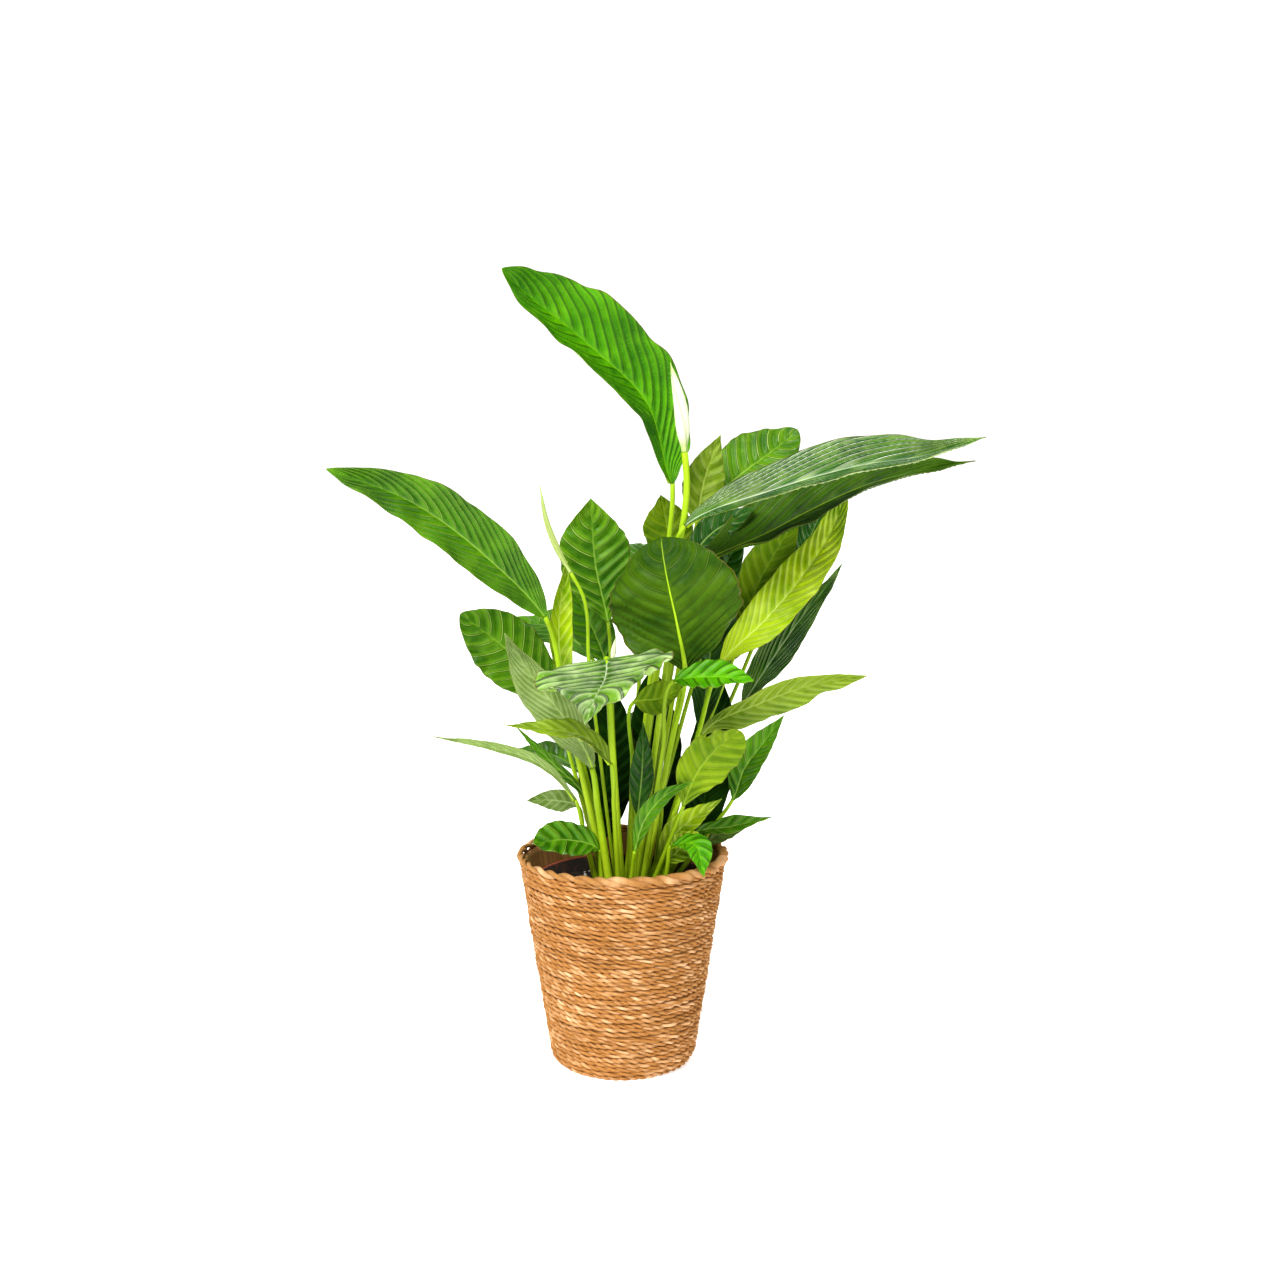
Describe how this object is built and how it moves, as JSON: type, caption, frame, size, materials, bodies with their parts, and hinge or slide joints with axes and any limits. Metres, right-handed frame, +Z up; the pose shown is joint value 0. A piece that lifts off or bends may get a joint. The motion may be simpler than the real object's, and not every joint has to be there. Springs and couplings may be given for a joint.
{
  "type": "peace lily in a basket",
  "caption": "Potted peace lily with arching ribbed leaves and closed white spathes, in a plastic nursery pot inside a tapered woven seagrass basket.",
  "frame": {"origin": "centre of the basket's flat underside, where it stands", "axes": "+Z up, +X to the viewer's right, -Y towards the front that the picture shows"},
  "size_m": [0.5814, 0.3804, 0.7373],
  "materials": {
    "seagrass": "matte",
    "seagrass_rope": "matte",
    "pot_plastic": "satin",
    "soil": "matte",
    "leaf": "satin",
    "young_leaf": "satin",
    "grey_leaf": "matte",
    "stalk": "satin",
    "spathe": "matte"
  },
  "bodies": {
    "root": {"basket_rope_rim": "seagrass_rope", "bloom_faded_spathe": "spathe", "bloom_faded_stalk": "stalk", "bloom_tall_spathe": "spathe", "bloom_tall_stalk": "stalk", "bud_centre_spathe": "spathe", "bud_centre_stalk": "stalk", "bud_low_spathe": "spathe", "bud_low_stalk": "stalk", "leaf_bright_low": "young_leaf", "leaf_curled_right": "leaf", "leaf_dark_centre": "leaf", "leaf_dark_top": "leaf", "leaf_dark_upright": "leaf", "leaf_flat_front": "leaf", "leaf_folded_right": "leaf", "leaf_front_drooping": "leaf", "leaf_furled": "young_leaf", "leaf_great_round": "leaf", "leaf_grey_left": "grey_leaf", "leaf_hooked_left": "leaf", "leaf_inner_centre": "leaf", "leaf_inner_high": "leaf", "leaf_inner_left": "leaf", "leaf_inner_right": "leaf", "leaf_inner_upper": "leaf", "leaf_light_low": "young_leaf", "leaf_long_left": "leaf", "leaf_longest_right": "leaf", "leaf_low_centre": "leaf", "leaf_low_right": "leaf", "leaf_narrow_back": "young_leaf", "leaf_over_rim": "leaf", "leaf_pale_centre": "leaf", "leaf_pale_over_rim": "grey_leaf", "leaf_rear_high": "leaf", "leaf_rear_left": "leaf", "leaf_rear_low": "leaf", "leaf_rear_low_left": "leaf", "leaf_rear_low_right": "leaf", "leaf_rear_right": "leaf", "leaf_right_broad": "young_leaf", "leaf_right_dark": "leaf", "leaf_right_pale": "young_leaf", "leaf_right_twisted": "leaf", "leaf_rolled_back": "leaf", "leaf_round_left": "leaf", "leaf_second_right": "leaf", "leaf_small_grey": "grey_leaf", "leaf_small_round": "young_leaf", "leaf_strip_left": "leaf", "leaf_striped_low": "leaf", "leaf_tall_arching": "leaf", "leaf_thin_left": "leaf", "leaf_upright_back": "leaf", "leaf_upright_centre": "leaf", "nursery_pot": "pot_plastic", "potting_soil": "soil", "seagrass_basket": "seagrass"}
  },
  "joints": []
}
